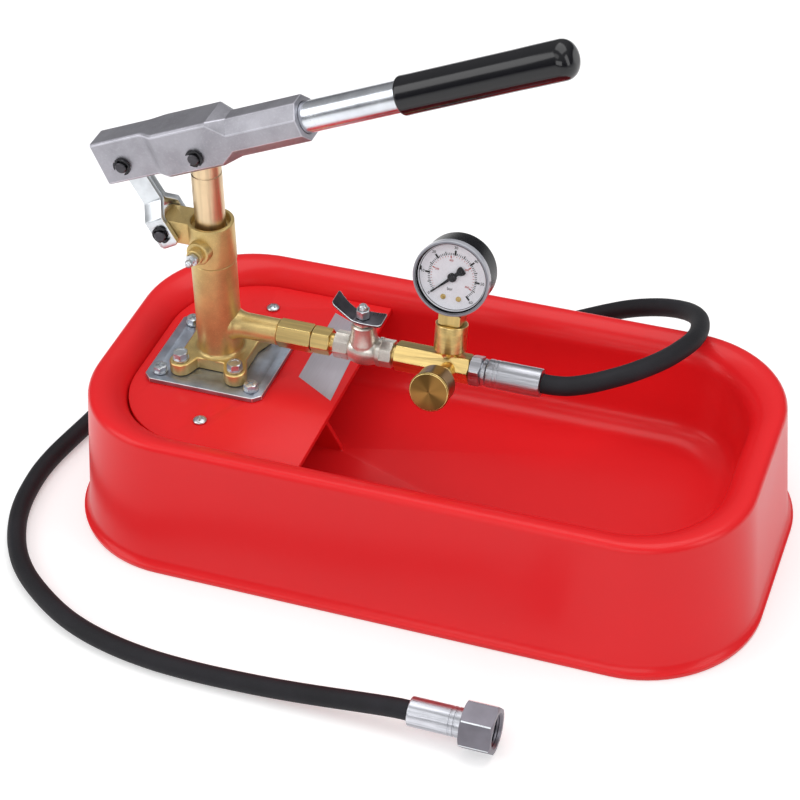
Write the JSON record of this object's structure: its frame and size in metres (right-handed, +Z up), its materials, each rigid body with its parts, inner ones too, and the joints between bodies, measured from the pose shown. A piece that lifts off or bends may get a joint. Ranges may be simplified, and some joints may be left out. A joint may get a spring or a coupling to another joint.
{
  "type": "hydrostatic test pump",
  "caption": "Hand-lever pressure test pump on an open moulded water tank, with a ball valve, tilted gauge, vent knob and a hose ending in a swivel nut.",
  "frame": {"origin": "middle of the tank's foot, on the ground", "axes": "+X along the tank from the pump to the basin end, +Y to the back, +Z up"},
  "size_m": [0.4121, 0.3141, 0.2983],
  "materials": {
    "tank": "moulded red, glossy",
    "deck": "moulded red, semi-gloss",
    "fasteners": "bright zinc plated steel",
    "zinc_plate": "bright zinc plated sheet",
    "cast_brass": "blasted casting, satin",
    "turned_brass": "turned and drawn, bright",
    "knob_brass": "faced and knurled",
    "nickel": "nickel plated brass, blasted body",
    "valve_handle": "polished pressed steel",
    "cast_aluminium": "sand cast, tumbled",
    "handle_steel": "bright zinc plated tube",
    "zinc_fittings": "bright zinc plated, turned",
    "black_steel": "black oxide, oiled",
    "valve_balls": "stainless, bright",
    "grip_vinyl": "dip-moulded vinyl, glossy",
    "black_plastic": "moulded, semi-gloss",
    "gauge_bezel": "clear pressed-on window rim over the grey case edge",
    "gauge_dial": "white enamel with plain graduations",
    "gauge_lens": "clear",
    "gauge_needle": "black",
    "seals": "white sealing plastic",
    "hose_rubber": "matt black rubber hose with a fine wrapped texture"
  },
  "bodies": {
    "tank": {"tank_shell": "tank", "deck_plate": "deck", "deck_screw_front": "fasteners", "deck_screw_rear": "fasteners", "mounting_plate": "zinc_plate", "plate_bolt_front_left": "fasteners", "plate_bolt_front_right": "fasteners", "plate_bolt_rear_right": "fasteners", "plate_bolt_rear_left": "fasteners", "pump_barrel": "cast_brass", "flange_bolt_front_left": "fasteners", "flange_bolt_front_right": "fasteners", "flange_bolt_rear_right": "fasteners", "flange_bolt_rear_left": "fasteners", "suction_fitting": "turned_brass", "suction_strainer": "black_plastic", "gland_seal": "seals", "cylinder_head": "cast_brass", "grease_nipple": "fasteners", "lug_pin": "black_steel", "lug_clip_front": "black_steel", "lug_clip_rear": "black_steel", "check_valve_body": "turned_brass", "check_spring": "valve_balls", "line_adapter": "turned_brass", "valve_body": "nickel", "valve_seat_left": "seals", "valve_seat_right": "seals", "valve_gland_nut": "nickel", "manifold_block": "turned_brass", "gauge_stem": "turned_brass", "gauge_case": "black_plastic", "gauge_bezel": "gauge_bezel", "gauge_dial": "gauge_dial", "gauge_lens": "gauge_lens", "hose_fitting": "zinc_fittings", "hose_ferrule": "zinc_fittings", "hose": "hose_rubber", "tail_ferrule": "zinc_fittings", "hose_tail": "zinc_fittings"},
    "plunger": {"piston_rod": "turned_brass"},
    "lever": {"lever_head": "cast_aluminium", "handle_tube": "handle_steel", "handle_grip": "grip_vinyl", "rod_pin": "black_steel", "rod_clip_front": "black_steel", "rod_clip_rear": "black_steel", "fork_pin": "black_steel", "fork_clip_front": "black_steel", "fork_clip_rear": "black_steel"},
    "links": {"link_strap_front": "zinc_plate", "link_strap_rear": "zinc_plate"},
    "valve_plug": {"valve_ball_stem": "nickel", "valve_handle": "valve_handle", "valve_handle_nut": "nickel"},
    "vent": {"vent_knob": "knob_brass"},
    "needle": {"gauge_needle": "gauge_needle"},
    "suction_check": {"suction_ball": "valve_balls"},
    "delivery_check": {"check_ball": "valve_balls"},
    "nut": {"swivel_nut": "zinc_fittings"}
  },
  "joints": [
    {"name": "plunger_stroke", "type": "slide", "parent": "tank", "child": "plunger", "axis": [0, 0, 1], "range_m": [-0.0204, 0.0152]},
    {"name": "lever_swing", "type": "hinge", "parent": "plunger", "child": "lever", "pos_m": [-0.121, 0, 0.207], "axis": [0, -1, 0], "range_deg": [-23, 17]},
    {"name": "link_swing", "type": "hinge", "parent": "tank", "child": "links", "pos_m": [-0.144, 0, 0.1554], "axis": [0, -1, 0], "range_deg": [-6.7, 9]},
    {"name": "valve_turn", "type": "hinge", "parent": "tank", "child": "valve_plug", "pos_m": [-0.0385, 0, 0.0974], "axis": [0, 0, 1], "range_deg": [0, 90]},
    {"name": "vent_turn", "type": "hinge", "parent": "tank", "child": "vent", "pos_m": [0.0093, 0, 0.0974], "axis": [0, -0.9659, 0.2588], "range_deg": [0, 360]},
    {"name": "needle_turn", "type": "hinge", "parent": "tank", "child": "needle", "pos_m": [0.0078, 0.0132, 0.14666], "axis": [0, 0.9659, -0.2588], "range_deg": [0, 270], "stiffness_Nm_per_rad": 0.00002, "springref_deg": -34.38},
    {"name": "suction_ball_lift", "type": "slide", "parent": "tank", "child": "suction_check", "axis": [0, 0, 1], "range_m": [0, 0.0018]},
    {"name": "check_ball_lift", "type": "slide", "parent": "tank", "child": "delivery_check", "axis": [1, 0, 0], "range_m": [0, 0.0015], "stiffness_N_per_m": 60, "springref_m": -0.001, "deforming": ["check_spring"]},
    {"name": "nut_spin", "type": "hinge", "parent": "tank", "child": "nut", "pos_m": [0.0785, -0.1625, 0.0125], "axis": [1, 0, 0], "continuous": true}
  ],
  "couplings": [
    {"joint": "plunger_stroke", "follows": "lever_swing", "m_per_rad": 0.05056},
    {"joint": "link_swing", "follows": "lever_swing", "ratio": -0.3838}
  ]
}
